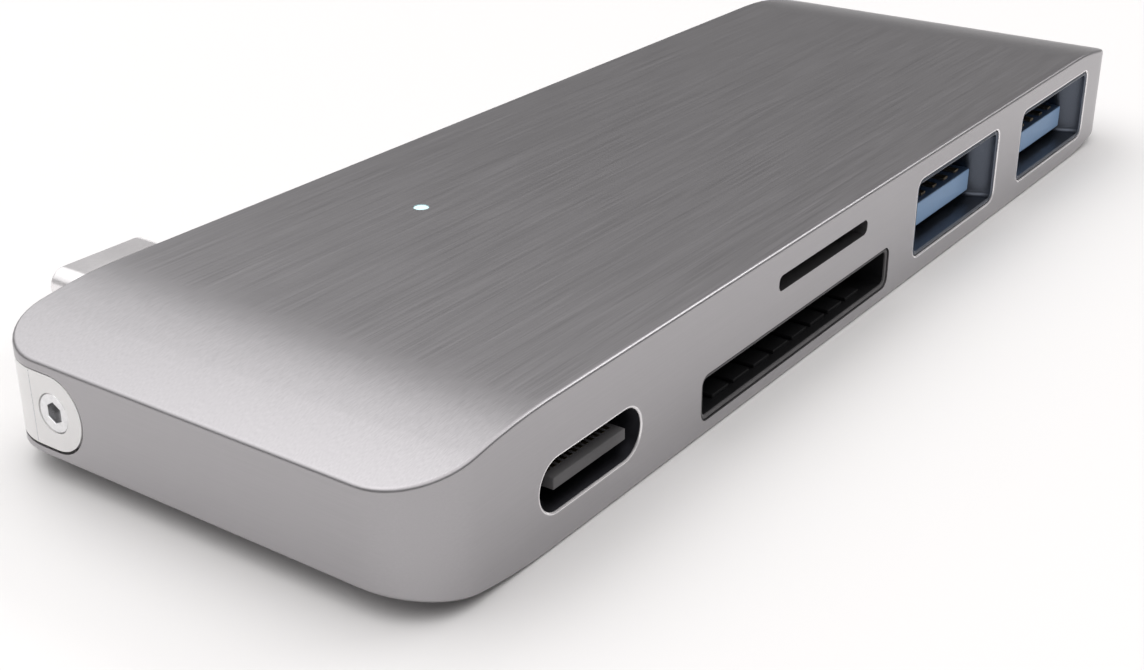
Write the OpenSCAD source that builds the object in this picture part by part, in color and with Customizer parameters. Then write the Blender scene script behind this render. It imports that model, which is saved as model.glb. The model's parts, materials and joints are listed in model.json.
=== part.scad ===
// Slim five-port USB hub that plugs into the side of a laptop.
// The long axis is X, the ports face -Y, the plug points to +Y and Z is up.
// The origin is the middle of the flat underside.

/* [Body] */
// Length of the body along X
body_l = 95; // [94:0.5:96]
// Width of the body along Y, without the plug
body_w = 31.8; // [31.4:0.1:32.4]
// Height of the body at its middle
body_h = 8.9; // [8.8:0.05:9.1]
// Radius of the upright corners
corner_r = 4.2; // [3.8:0.1:4.6]
// Distance from the middle to where the top and underside start to curve
crown_start = 37.3; // [36:0.1:38]
// How far the top and the underside each curve in at the ends
end_drop = 1.53; // [1.2:0.01:1.6]
// Thickness of the upright walls
wall = 1.2; // [1.1:0.05:1.3]
// Thickness of the top
top_t = 0.9; // [0.8:0.05:1]
// Thickness of the bottom cover
cover_t = 0.8; // [0.7:0.05:0.9]

/* [Ports] */
// Middle of the first type A port along X
usb_a_first = 13.9; // [13.6:0.1:14.1]
// Distance between the middles of the two type A ports
usb_a_pitch = 19.4; // [19.2:0.1:19.6]
// Height of the middle of the type A ports
usb_a_z = 4.4; // [4.3:0.05:4.5]
// Middle of the type C port along X
usb_c_x = -33.6; // [-34:0.1:-33]
// Height of the middle of the type C port
usb_c_z = 3.7; // [3.6:0.05:3.8]
// Middle of the SD slot along X
sd_x = -10; // [-10.4:0.1:-9.6]
// Height of the middle of the SD slot
sd_z = 2.4; // [2.35:0.05:2.45]
// Middle of the microSD slot along X
micro_x = -7.5; // [-8:0.1:-7]
// Height of the middle of the microSD slot
micro_z = 6.6; // [6.5:0.05:6.65]

/* [Plug] */
// Middle of the plug along X
plug_x = -32.3; // [-33:0.1:-32]
// Length of the bare metal plug
plug_l = 6.65; // [6.2:0.05:6.7]
// Depth of the plinth that the plug stands on
plinth_l = 1.7; // [1.5:0.1:2]
// Height of the plug carrier
carrier_h = 4.55; // [4.4:0.05:4.6]
// How far the carrier slides out
plug_travel = 3; // [1:0.5:3]
// Where the lock screw sits along Y
screw_y = 10.3; // [10.2:0.1:10.4]
// Radius of the lock screw
screw_r = 1.2; // [1.1:0.05:1.25]

/* [Status light] */
// Position of the status light along X
led_x = -20.4; // [-20.8:0.1:-20]
// Position of the status light along Y
led_y = 6.6; // [6:0.1:7]
// Radius of the light window
led_r = 0.5; // [0.4:0.05:0.6]

/* [Hidden] */

$fn = 48;
smooth_fn = 360;                         // for the long, shallow crown arcs
hull_fn = 32;
eps = 1;                                 // how far a cutting tool runs past a face
fit = 0.05;                              // gap around a piece that is set into another
lap = 0.1;                               // how far shapes of one piece reach into each other
mid_z = body_h / 2;
front_y = -body_w / 2;
rear_y = body_w / 2;
end_x = body_l / 2;
crown_len = end_x - crown_start;
crown_r = (crown_len * crown_len + end_drop * end_drop) / (2 * end_drop);
inner_w = body_w / 2 - wall;             // half the width inside the walls
inner_l = end_x - wall;                  // half the length inside the walls
roof_z = body_h - top_t;                 // underside of the top

// Bottom cover: it sits in a rebate in the walls, on a ring of adhesive tape
rebate = 0.6;
cover_depth = 3.45;                      // the rebate, the cover and the tape lie below this height
tape_t = 0.1;
film_t = 0.1;
film_inset = [2, 1];                     // film's edge from the start of the curve and from the walls

// Main board
board_t = 0.8;
board_z = 4.2;                           // underside of the board
board_top = board_z + board_t;
board_notch = [-24, 1.5];                // beyond this corner the board makes room for the plug
board_gap = 0.5;                         // between the board and the walls
port_gap = 0.15;                         // between the board and the ports let into it
screw_spots = [[-42.6, -10.6], [-21.4, 11.6], [23.6, -11], [42.6, 11.6]];
boss_r = 1.8;
board_screw_r = 0.8;
board_screw_head = [1.5, 0.6];           // radius and height
board_screw_slot = [1.6, 0.3, 0.7];
board_screw_l = 2;                       // reach into the boss

// Chips and small parts on the board: middle, then size
hub_chip_at = [12, 6.4];
hub_chip_size = [7, 7, 0.85];
reader_chip_at = [-2.5, 10.6];
reader_chip_size = [5, 5, 0.85];
power_chip_at = [-30, -3.6];
power_chip_size = [4, 4, 0.8];
hub_crystal_at = [19.6, 6.4];
hub_crystal_size = [2.5, 3.2, 0.75];
reader_crystal_at = [2.8, 10.6];
reader_crystal_size = [2, 2.5, 0.7];
big_coil_at = [-37.2, -3.8];
big_coil_size = [4, 4, 1.9];
small_coils_at = [[28.5, 3.2], [38.5, 3.2]];
small_coil_size = [3, 3, 1.6];
capacitor_size = [1.6, 0.8, 0.8];
small_capacitor_size = [1, 0.5, 0.5];
resistor_size = [1, 0.5, 0.35];
resistor_pitch = 1.8;
can_size = [11, 11.6, 1.5];
can_sheet = 0.15;
pad_size = [8, 8];

// Type A receptacle, at the standard's sizes: inside 12.5 by 5.12, tongue 11.1 by 1.84
usb_a_x = [usb_a_first, usb_a_first + usb_a_pitch];
a_sheet = 0.3;
a_in = [12.5, 5.12];
a_out = [a_in[0] + 2 * a_sheet, a_in[1] + 2 * a_sheet];
a_flare = 0.75;                          // how much wider the mouth is on each side
a_flare_l = 1.2;
a_back = 0.05;                           // mouth behind the wall's face
a_len = 14;
a_tongue = [11.1, 1.84];
a_tongue_low = 0.7;                      // gap between the tongue and the floor of the shell
a_tongue_back = 1.4;                     // tip of the tongue behind the mouth
a_tongue_top = -a_in[1] / 2 + a_tongue_low + a_tongue[1];
a_block_l = 4;                           // block at the back that the tongue grows from
a_corner = 0.75;
a_cut = [a_out[0] + 2 * a_flare + 2 * fit, a_out[1] + 2 * fit];
a_front_pins = [-4, -2, 0, 2, 4];        // flat contacts near the tip
a_front_pin = [0.7, 0.18];               // their width and thickness
a_rear_pins = [-3.5, -1, 1, 3.5];        // sprung contacts behind them
a_rear_pin = [0.5, 0.15];
a_rear_hump = [3.2, 4.6, 0.44];          // start, end and height of the sprung part

// Type C receptacle: inside 8.34 by 2.56, tongue 6.69 by 0.7
c_in = [8.34, 2.56];
c_sheet = 0.25;
c_out = [c_in[0] + 2 * c_sheet, c_in[1] + 2 * c_sheet];
c_len = 7.3;
c_back = 0.45;                           // front edge of its shell behind the wall's face
c_tongue = [6.69, 0.7];
c_tip_back = 0.15;                       // tip of the tongue behind the wall's face
c_block_l = 2;
c_cut = [9.4, 3.14];
c_pitch = 0.5;
c_row = 12;                              // contacts in one row
c_pin = [0.25, 4.4, 0.1];

// SD socket
sd_out_w = 27.4;
sd_depth = 17;
sd_nose = [24.9, 3.05];                  // the frame that fills the wall's slot
sd_nose_r = 0.7;
sd_open = [24.3, 2.45];
sd_floor = 1;                            // underside of the socket
sd_floor_t = 0.35;
sd_back_t = 1.2;
sd_cover_t = 0.2;
sd_pitch = 2.5;
sd_pins = 9;
sd_pin_w = 0.7;
sd_tooth = [1.7, 3.4, 0.35];
sd_tooth_y = 0.9;
sd_window = [2.4, 4];                    // openings in the cover

// microSD socket
micro_out_w = 14.2;
micro_depth = 15.2;
micro_open = [12.1, 1.05];
micro_card = [11.3, 1.0];                // the card's channel
micro_cover_t = 0.15;
micro_back = 0.1;                        // socket face behind the wall's inner face
micro_wall = 1;                          // back wall of the socket
micro_floor = board_top - micro_z;       // underside of the socket, from the slot's middle
micro_roof = micro_card[1] / 2 + 0.05;   // underside of its cover
micro_pitch = 1.1;
micro_pins = 8;
micro_pin = [0.5, 0.15];
slider_gap = 0.1;
slider_x = micro_card[0] / 2;            // inner face of the slider
slider_y = 5.6;
slider_size = [1.1, 4.2];
groove_mid = 0.55;                       // middle of the slider's groove, from slider_x
groove_w = 0.5;
groove_t = 0.4;
cam_pin_r = 0.1;
cam_pin_l = 3.7;
cam_pin_foot = 0.8;
spring_r = 0.45;
spring_wire = 0.09;
spring_turns = 9;

// Light pipe and the lamp under it
led_size = [1.6, 0.8, 0.6];

// Plug carrier, lock screw and pad
slot_gap = 0.075;
slot_h = carrier_h + 2 * slot_gap;
carrier_r = carrier_h / 2;
carrier_round_x = plug_x + 3.8;          // middle of the carrier's rounded inner end
arm_t = 3.9;                             // thickness of the arm that grips the plug
boss_t = 0.7;                            // screw boss behind the end wall
screw_l = 2.4;
screw_sunk = 0.05;
hex_af = 1.1;                            // size of the hex key
hex_depth = 1.3;
pad_r = 1.4;
pad_t = 0.75;
pad_pin_r = 0.5;
pad_pin_l = 0.6;
run_gap = 0.025;                         // radial clearance of a running fit
lock_gap = 0.05;                         // between the pad and the rib that it presses on
lug_w = 1.6;                             // stops that keep the carrier from coming out
lug_t = 0.6;
lug_over = 0.6;                          // how far a stop reaches above and below the carrier
lug_x = [-40, carrier_round_x - lug_w];
plug_out = [8.25, 2.4];
plug_sheet = 0.28;
plug_in = [plug_out[0] - 2 * plug_sheet, plug_out[1] - 2 * plug_sheet];
plinth_w = 11.5;
plug_tip_y = rear_y + plinth_l + plug_l;
plug_root_y = rear_y - arm_t - 1;
plug_slot = [6.9, 0.82];
plug_slot_l = 5.6;
plug_pin = [0.25, 5.4, 0.12];
latch_t = 0.16;
plug_board_t = 0.6;
plug_board_size = [9, 7.4];
plug_board_in = 0.8;                     // how far the board's tongue reaches into the plug
rib_t = 0.8;                             // rib that the pad presses on
rib_low = 2.4;
rib_x = -end_x + screw_sunk + screw_l + run_gap + pad_t + lock_gap;

// Ribbon between the plug's board and the main board
flex_w = 7;
flex_t = 0.12;
flex_r = 0.5;
flex_top_z = mid_z - plug_board_t / 2 - flex_t;
flex_low_z = flex_top_z - 2 * flex_r;
flex_loop_y = 7.4;
flex_joint_l = 2;                        // length soldered under the plug's board
flex_in = 0.8;                           // how far it goes into its socket
flex_fit = 0.02;
socket_size = [flex_w + 1.6, 3.8];
socket_face_y = 0.2;

// ---- shapes that repeat ----

// Rectangle with round corners, centred on the origin
module round_rect(size, r) {
    square([size[0] - 2 * r, size[1]], center = true);
    square([size[0], size[1] - 2 * r], center = true);
    for (sx = [-1, 1], sy = [-1, 1])
        translate([sx * (size[0] / 2 - r), sy * (size[1] / 2 - r)]) circle(r);
}

// Slot shape with fully round ends, centred on the origin
module slot_shape(size) {
    square([size[0] - size[1], size[1]], center = true);
    for (s = [-1, 1]) translate([s * (size[0] - size[1]) / 2, 0]) circle(size[1] / 2);
}

// Extrudes an X-Z outline from y0 to y1
module along_y(y0, y1) {
    translate([0, y1, 0]) rotate([90, 0, 0]) linear_extrude(y1 - y0) children();
}

// Extrudes a Y-Z outline from x0 to x1
module along_x(x0, x1) {
    translate([x0, 0, 0]) rotate([90, 0, 90]) linear_extrude(x1 - x0) children();
}

// A box from its low corner to its high corner
module block(low, high) {
    translate(low) cube(high - low);
}

// The body's plan shape, set in from the outside by inset
module plan(inset, z0, z1) {
    translate([0, 0, z0]) linear_extrude(z1 - z0)
        round_rect([body_l - 2 * inset, body_w - 2 * inset], corner_r - inset);
}

// The body's side view, set in from the outside by inset: flat with curved ends
module side_view(inset) {
    r = crown_r - inset;
    overlap = 5;
    translate([-crown_start, inset]) square([2 * crown_start, body_h - 2 * inset]);
    for (s = [-1, 1]) intersection() {
        translate([s * crown_start, body_h - crown_r]) circle(r, $fn = smooth_fn);
        translate([s * crown_start, crown_r]) circle(r, $fn = smooth_fn);
        translate([s * (crown_start + (crown_len + eps - overlap) / 2), mid_z])
            square([crown_len + eps + overlap, body_h], center = true);
    }
}

module side_prism(inset) {
    along_y(front_y - eps, rear_y + eps) side_view(inset);
}

// ---- case ----

// Outline of the carrier's end plate in Y and Z: round at the front, open to the rear
module end_outline(h) {
    translate([screw_y, mid_z]) circle(h / 2);
    translate([screw_y, mid_z - h / 2]) square([body_w, h]);
}

// Outline of the carrier's rear plate in X and Z: round at its inner end, open to the body's end
module rear_outline(h) {
    translate([carrier_round_x, mid_z]) circle(h / 2);
    translate([carrier_round_x - body_l, mid_z - h / 2]) square([body_l, h]);
}

// The slots that the plug carrier fills: one in the end wall, one in the rear wall, joined at the corner
module carrier_slot() {
    along_x(-end_x - eps, -inner_l + lap) end_outline(slot_h);
    along_y(inner_w - lap, rear_y + eps) rear_outline(slot_h);
    block([-end_x - eps, inner_w - corner_r, mid_z - slot_h / 2],
        [-end_x + corner_r + 0.5, rear_y + eps, mid_z + slot_h / 2]);
}

// Cuts an X-Z outline through the front wall at x, z
module front_cut(x, z) {
    translate([x, 0, z]) along_y(front_y - eps, -inner_w + eps) children();
}

module port_cuts() {
    for (x = usb_a_x) front_cut(x, usb_a_z) round_rect(a_cut, a_corner + fit);
    front_cut(usb_c_x, usb_c_z) slot_shape(c_cut);
    front_cut(sd_x, sd_z) round_rect(sd_nose, sd_nose_r);
    front_cut(micro_x, micro_z) round_rect(micro_open, 0.45);
}

module top_shell() color("#8a888b") {
    difference() {
        intersection() {
            plan(0, -eps, body_h + eps);
            side_prism(0);
        }
        plan(wall, -eps, mid_z);
        intersection() {
            plan(wall, mid_z - eps, body_h);
            side_prism(top_t);
        }
        difference() {
            plan(rebate, -eps, cover_depth);
            side_prism(cover_t + tape_t);
        }
        port_cuts();
        carrier_slot();
        translate([led_x, led_y, mid_z]) cylinder(r = led_r + 0.02, h = body_h);
    }
    board_bosses();
    lock_rib();
}

// Bosses that the main board is screwed up against
module board_bosses() {
    intersection() {
        side_prism(top_t / 2);
        for (p = screw_spots) translate([p[0], p[1], board_top]) difference() {
            cylinder(r = boss_r, h = body_h - board_top);
            translate([0, 0, -eps]) cylinder(r = board_screw_r + 0.01, h = board_screw_l + 0.2 + eps);
        }
    }
}

// Rib behind the end wall that the lock pad presses on
module lock_rib() {
    block([rib_x, screw_y - pad_r - 2, rib_low], [rib_x + rib_t, inner_w, roof_z]);
}

module bottom_cover() color("#807e81") difference() {
    intersection() {
        plan(rebate + fit, -eps, cover_depth);
        difference() {
            side_prism(0);
            side_prism(cover_t);
        }
    }
    carrier_slot();
}

module cover_adhesive() color("#202020") difference() {
    intersection() {
        difference() {
            plan(rebate + fit, -eps, cover_depth);
            plan(wall, -2 * eps, mid_z);
        }
        difference() {
            side_prism(cover_t);
            side_prism(cover_t + tape_t);
        }
    }
    carrier_slot();
}

module insulating_film() color("#d8b040") {
    half = [crown_start - film_inset[0], inner_w - film_inset[1]];
    block([-half[0], -half[1], cover_t], [half[0], half[1], cover_t + film_t]);
}

// ---- boards ----

// Room for a port of width w that reaches in to depth, measured from the front face
module board_opening(x, w, depth) {
    block([x - w / 2 - port_gap, front_y, 0], [x + w / 2 + port_gap, front_y + depth + port_gap, body_h]);
}

module main_board() color("#14562e") difference() {
    intersection() {
        plan(wall + board_gap, board_z, board_top);
        union() {
            block([board_notch[0], -body_w, 0], [body_l, body_w, body_h]);
            block([-body_l, -body_w, 0], [body_l, board_notch[1], body_h]);
        }
    }
    for (x = usb_a_x) board_opening(x, a_out[0], a_len);
    board_opening(usb_c_x, c_out[0], c_back + c_len);
    for (p = screw_spots) translate([p[0], p[1], 0]) cylinder(r = board_screw_r + 0.15, h = body_h);
}

module board_screw() {
    difference() {
        union() {
            translate([0, 0, -board_screw_head[1]])
                cylinder(r = board_screw_head[0], h = board_screw_head[1]);
            cylinder(r = board_screw_r, h = board_t + board_screw_l);
        }
        for (a = [0, 90]) rotate(a) translate([0, 0, -board_screw_head[1]])
            cube(board_screw_slot, center = true);
    }
}

module board_screws() color("#c8c8cc")
    for (p = screw_spots) translate([p[0], p[1], board_z]) board_screw();

// A block that stands on z0 with its middle over a spot
module chip(spot, size, z0) {
    translate([spot[0] - size[0] / 2, spot[1] - size[1] / 2, z0]) cube(size);
}

// A row of n equal parts on the board, from a first spot and a step
module row(n, first, step, size) {
    for (i = [0 : n - 1]) chip(first + i * step, size, board_top);
}

module hub_chip() color("#1c1c1e") chip(hub_chip_at, hub_chip_size, board_top);

module card_reader_chip() color("#1c1c1e") chip(reader_chip_at, reader_chip_size, board_top);

module power_chip() color("#1c1c1e") chip(power_chip_at, power_chip_size, board_top);

module crystal() color("#c4c4c8") {
    chip(hub_crystal_at, hub_crystal_size, board_top);
    chip(reader_crystal_at, reader_crystal_size, board_top);
}

module inductors() color("#3a3a3c") {
    chip(big_coil_at, big_coil_size, board_top);
    for (spot = small_coils_at) chip(spot, small_coil_size, board_top);
}

module capacitors() color("#a98a5c") {
    row(5, [5, 3.4], [0, 1.7], capacitor_size);
    row(4, [24.6, 8.6], [2.6, 0], capacitor_size);
    row(3, [-25.6, -7.6], [0, 1.9], capacitor_size);
    row(4, [-14, 12.4], [2.4, 0], small_capacitor_size);
}

module resistors() color("#262628") {
    row(6, [26, 11.6], [resistor_pitch, 0], resistor_size);
    row(4, [-33.6, 0.4], [resistor_pitch, 0], resistor_size);
    row(3, [-18, 8.8], [resistor_pitch, 0], resistor_size);
}

module shield_can() color("#b8b8bc") difference() {
    inside = [can_size[0] - 2 * can_sheet, can_size[1] - 2 * can_sheet, can_size[2] + eps - can_sheet];
    chip(hub_chip_at, can_size, board_top);
    chip(hub_chip_at, inside, board_top - eps);
}

module thermal_pad() color("#8fa8c8") {
    z0 = board_top + can_size[2];
    chip(hub_chip_at, [pad_size[0], pad_size[1], roof_z - z0], z0);
}

// ---- type A ports ----

module a_place(x) {
    translate([x, front_y, usb_a_z]) children();
}

// A tube of the given inside or outside size: straight, and wider towards the mouth
module a_tube(size, r, y0, y1) {
    along_y(a_flare_l - eps / 2, y1) round_rect(size, r);
    hull() {
        along_y(y0, y0 + 0.3) round_rect([size[0] + 2 * a_flare, size[1]], r, $fn = hull_fn);
        along_y(a_flare_l, a_flare_l + lap) round_rect(size, r, $fn = hull_fn);
    }
}

module usb_a_shell(x) color("#9a9ea4") a_place(x) difference() {
    a_tube(a_out, a_corner, a_back, a_len);
    a_tube(a_in, a_corner - a_sheet, a_back - 0.15, a_len - a_sheet);
}

// Contacts on top of the tongue: flat ones near the tip with solder tails, sprung ones behind them
module a_contact_set() {
    back = a_len - a_sheet - 0.9;
    tip = a_tongue_back + 0.45;
    w = a_front_pin[0];
    t = a_front_pin[1];
    for (x = a_front_pins) {
        block([x - w / 2, tip, a_tongue_top], [x + w / 2, back, a_tongue_top + t]);
        block([x - w / 2, back - 0.3, -1.2], [x + w / 2, back, a_tongue_top]);
    }
    for (x = a_rear_pins) {
        half = a_rear_pin[0] / 2;
        hump_y = [a_tongue_back + a_rear_hump[0], a_tongue_back + a_rear_hump[1]];
        block([x - half, hump_y[0], a_tongue_top + t],
            [x + half, hump_y[1], a_tongue_top + t + a_rear_hump[2]]);
        block([x - half, hump_y[1], a_tongue_top + t],
            [x + half, a_len - a_block_l - 0.2, a_tongue_top + t + a_rear_pin[1]]);
    }
}

module usb_a_contacts(x) color("#b48a4a") a_place(x) a_contact_set();

module usb_a_tongue(x) color("#7ea6d8") a_place(x) difference() {
    half = [a_in[0] / 2 - fit, a_in[1] / 2 - fit];
    notch = 0.6;                         // leaves room for the shell's round corners
    union() {
        block([-a_tongue[0] / 2, a_tongue_back, a_tongue_top - a_tongue[1]],
            [a_tongue[0] / 2, a_len - a_block_l, a_tongue_top]);
        block([-half[0], a_len - a_block_l, -half[1]], [half[0], a_len - a_sheet - fit, half[1]]);
    }
    a_contact_set();
    for (sx = [-1, 1], sz = [-1, 1]) translate([sx * a_in[0] / 2, a_len, sz * a_in[1] / 2])
        cube([notch, 4 * a_len, notch], center = true);
}

// ---- type C port ----

module c_place() {
    translate([usb_c_x, front_y + c_back, usb_c_z]) children();
}

module usb_c_shell() color("#3a3a3d") c_place() difference() {
    along_y(0, c_len) slot_shape(c_out);
    along_y(-eps, c_len - c_sheet) slot_shape(c_in);
}

// Two rows of flat contacts, set half into a tongue of the given thickness, centred on y
module c_contact_rows(pin, y, z) {
    for (i = [0 : c_row - 1], s = [-1, 1])
        translate([(i - (c_row - 1) / 2) * c_pitch, y, s * z]) cube(pin, center = true);
}

module c_contact_set() {
    c_contact_rows(c_pin, 2.6, c_tongue[1] / 2 - 0.03);
}

module usb_c_contacts() color("#c79a4a") c_place() c_contact_set();

module usb_c_insulator() color("#2a2a2c") c_place() difference() {
    half = [c_tongue[0] / 2, c_tongue[1] / 2];
    union() {
        block([-half[0], c_tip_back - c_back, -half[1]], [half[0], c_len - c_block_l, half[1]]);
        along_y(c_len - c_sheet - c_block_l, c_len - c_sheet - 0.02)
            slot_shape([c_in[0] - 0.04, c_in[1] - 0.04]);
    }
    c_contact_set();
}

// ---- SD socket ----

module sd_place() {
    translate([sd_x, front_y, 0]) children();
}

// Contact comb of the SD socket: each spring lies in the floor and rises towards the back
module sd_contact_set() {
    low = sd_floor + 0.3;
    for (i = [0 : sd_pins - 1]) {
        x = (i - (sd_pins - 1) / 2) * sd_pitch;
        block([x - sd_pin_w / 2, 4.6, low], [x + sd_pin_w / 2, sd_depth - 0.2, low + 0.15]);
        block([x - sd_pin_w / 2, 8, low + 0.15], [x + sd_pin_w / 2, 9.4, low + 0.65]);
    }
}

module sd_contacts() color("#b48a4a") sd_place() sd_contact_set();

// Moulded base with the frame that fills the wall's slot and the card's channel behind it
module sd_base() color("#232325") sd_place() {
    difference() {
        union() {
            translate([0, 0, sd_z]) along_y(0.1, wall + 0.3)
                round_rect([sd_nose[0] - 2 * fit, sd_nose[1] - 2 * fit], sd_nose_r - fit);
            block([-sd_out_w / 2, wall + lap, sd_floor], [sd_out_w / 2, sd_depth, board_z - sd_cover_t]);
        }
        translate([0, 0, sd_z]) along_y(-eps, wall + 0.5) round_rect(sd_open, 0.45);
        block([-sd_open[0] / 2, wall + 0.2, sd_floor + sd_floor_t],
            [sd_open[0] / 2, sd_depth - sd_back_t, board_z]);
        sd_contact_set();
    }
    sd_teeth();
}

// The teeth between the contact slots, just inside the mouth
module sd_teeth() {
    low = [sd_tooth_y, sd_floor + 0.3];
    for (i = [0 : sd_pins - 2]) {
        x = (i - (sd_pins - 2) / 2) * sd_pitch;
        block([x - sd_tooth[0] / 2, low[0], low[1]],
            [x + sd_tooth[0] / 2, low[0] + sd_tooth[1], low[1] + sd_tooth[2]]);
    }
}

module sd_cover() color("#b4b6ba") sd_place() difference() {
    block([-sd_out_w / 2, wall + 0.3, board_z - sd_cover_t], [sd_out_w / 2, sd_depth, board_z]);
    for (s = [-1, 1]) chip([s * 7, 11], [sd_window[0], sd_window[1], 2 * eps], board_z - eps);
}

// ---- microSD socket ----

module micro_place() {
    translate([micro_x, front_y + wall + micro_back, micro_z]) children();
}

module micro_contact_set() {
    low = -micro_card[1] / 2;
    half = micro_pin[0] / 2;
    for (i = [0 : micro_pins - 1]) {
        x = (i - (micro_pins - 1) / 2) * micro_pitch - 0.6;
        block([x - half, 6.5, low - micro_pin[1]], [x + half, micro_depth - 0.2, low]);
        block([x - half, 7, low], [x + half, 8.2, low + 0.3]);
    }
}

module microsd_contacts() color("#c79a4a") micro_place() micro_contact_set();

module microsd_base() color("#1e1e20") micro_place() difference() {
    half = micro_card[0] / 2;
    back = micro_depth - micro_wall;
    block([-micro_out_w / 2, 0, micro_floor], [micro_out_w / 2, micro_depth, micro_roof]);
    block([-half, -eps, -micro_card[1] / 2], [half, back, micro_roof + eps]);
    block([slider_x - slider_gap, slider_y - slider_gap, -micro_card[1] / 2 - 0.1 - slider_gap],
        [slider_x + slider_size[0] + slider_gap, back, micro_roof + eps]);
    micro_contact_set();
    cam_pin_shape();
}

module microsd_cover() color("#b4b6ba") micro_place()
    block([-micro_out_w / 2, 0.2, micro_roof], [micro_out_w / 2, micro_depth, micro_roof + micro_cover_t]);

// The slider that a card pushes in and that the spring pushes back
module microsd_slider() color("#d9d6cc") micro_place() difference() {
    end_y = slider_y + slider_size[1];
    union() {
        block([slider_x, slider_y, -micro_card[1] / 2 - 0.1],
            [slider_x + slider_size[0], end_y, micro_roof - 0.05]);
        block([slider_x - 1.3, end_y - 1, -micro_card[1] / 2 + 0.4],
            [slider_x + lap, end_y, micro_roof - 0.1]);
    }
    translate([slider_x + groove_mid - groove_w / 2, slider_y - eps, micro_roof - groove_t])
        cube([groove_w, slider_size[1] + eps - 0.9, groove_t + eps]);
}

// Coil turns as a stack of rings along Y, joined by a straight wire
module microsd_spring() color("#c8c8cc") micro_place() {
    y0 = slider_y + slider_size[1] + 0.05;
    end_y = micro_depth - micro_wall - 0.05;
    step = (end_y - y0 - 2 * spring_wire) / spring_turns;
    translate([slider_x + slider_size[0] / 2 + 0.02, 0, 0]) {
        for (i = [0 : spring_turns]) translate([0, y0 + spring_wire + i * step, 0]) rotate([90, 0, 0])
            rotate_extrude($fn = 24) translate([spring_r - spring_wire, 0]) circle(spring_wire, $fn = 16);
        translate([0, end_y - 0.02, -spring_r + spring_wire]) rotate([90, 0, 0])
            cylinder(r = spring_wire * 0.9, h = end_y - y0 - 0.04, $fn = 16);
    }
}

// Wire pin: its bent end is fixed in the base and its free end rides in the slider's groove
module microsd_cam_pin() color("#c8c8cc") micro_place() cam_pin_shape();

module cam_pin_shape() {
    y0 = slider_y - 1.1;
    translate([slider_x + groove_mid, 0, micro_roof - 0.2]) {
        along_y(y0, y0 + cam_pin_l) circle(cam_pin_r);
        translate([0, y0, -cam_pin_foot]) cylinder(r = cam_pin_r, h = cam_pin_foot + cam_pin_r);
    }
}

// ---- status light ----

module status_led() color("#eef6f4") chip([led_x, led_y], led_size, board_top);

module light_pipe() color("#d6f2f2") translate([led_x, led_y, 0]) {
    foot_z = board_top + led_size[2] + 0.05;
    translate([0, 0, foot_z]) cylinder(r = 2 * led_r, h = roof_z - foot_z);
    translate([0, 0, roof_z]) cylinder(r = led_r, h = top_t - 0.05);
}

// ---- plug and its carrier ----

module plug_place() {
    translate([plug_x, 0, mid_z]) children();
}

module plug_carrier() color("#ececea") difference() {
    union() {
        intersection() {
            plan(0, 0, body_h);
            union() {
                along_x(-end_x - eps, -inner_l) end_outline(carrier_h);
                along_y(rear_y - arm_t, rear_y + eps) rear_outline(carrier_h);
            }
        }
        screw_boss();
        plug_place() along_y(rear_y - 0.5, rear_y + plinth_l) slot_shape([plinth_w, carrier_h]);
        stop_lugs();
    }
    block([rib_x - 0.2, 0, 0], [rib_x + rib_t + 0.2, inner_w + 0.2, body_h]);
    plug_place() along_y(0, body_w) slot_shape(plug_out);
    translate([-end_x - eps, screw_y, mid_z]) rotate([0, 90, 0])
        cylinder(r = screw_r + run_gap, h = wall + boss_t + 2 * eps);
}

// Thicker stretch behind the end wall that the lock screw runs in
module screw_boss() {
    intersection() {
        along_x(-inner_l - lap, -inner_l + boss_t) end_outline(carrier_h);
        block([-body_l, 0, 0], [0, rear_y - arm_t + lap, body_h]);
    }
}

// Lugs behind the rear wall that end the carrier's travel
module stop_lugs() {
    y1 = inner_w - plug_travel - 0.1;
    for (x = lug_x) {
        block([x, y1 - lug_t, mid_z - carrier_r - lug_over],
            [x + lug_w, y1, mid_z + carrier_r + lug_over]);
        block([x, y1 - lug_t, mid_z - carrier_r],
            [x + lug_w, rear_y - arm_t + lap, mid_z + carrier_r]);
    }
}

module plug_shell() color("#d2d2d4") plug_place() difference() {
    along_y(plug_root_y, plug_tip_y) slot_shape(plug_out);
    along_y(plug_root_y - eps, plug_tip_y + eps) slot_shape(plug_in);
}

module plug_contact_set() {
    c_contact_rows(plug_pin, plug_tip_y - 4.4, plug_slot[1] / 2 + 0.04);
}

module plug_contacts() color("#c79a4a") plug_place() plug_contact_set();

module plug_latches() color("#b8b8bc") plug_place()
    for (s = [-1, 1]) translate([s * (plug_slot[0] - latch_t) / 2, 0, 0])
        block([-latch_t / 2, plug_tip_y - plug_slot_l + 0.02, -0.3], [latch_t / 2, plug_tip_y - 1, 0.3]);

module plug_insulator() color("#2a2a2c") plug_place() difference() {
    along_y(plug_root_y, plug_tip_y - 0.3) slot_shape(plug_in);
    along_y(plug_tip_y - plug_slot_l, plug_tip_y + eps) square(plug_slot, center = true);
    plug_contact_set();
    along_y(plug_root_y - eps, plug_root_y + plug_board_in)
        square([plug_board_size[0], plug_board_t], center = true);
}

module plug_board() color("#14562e") plug_place() {
    along_y(plug_root_y - plug_board_size[1], plug_root_y)
        square([plug_board_size[0], plug_board_t], center = true);
    along_y(plug_root_y - eps, plug_root_y + plug_board_in)
        square([plug_in[0] - 1.9, plug_board_t], center = true);
}

// Puts a piece that is drawn along Z on the lock screw's axis, dx behind the body's end
module screw_place(dx) {
    translate([-end_x + dx, screw_y, mid_z]) rotate([0, 90, 0]) children();
}

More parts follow.
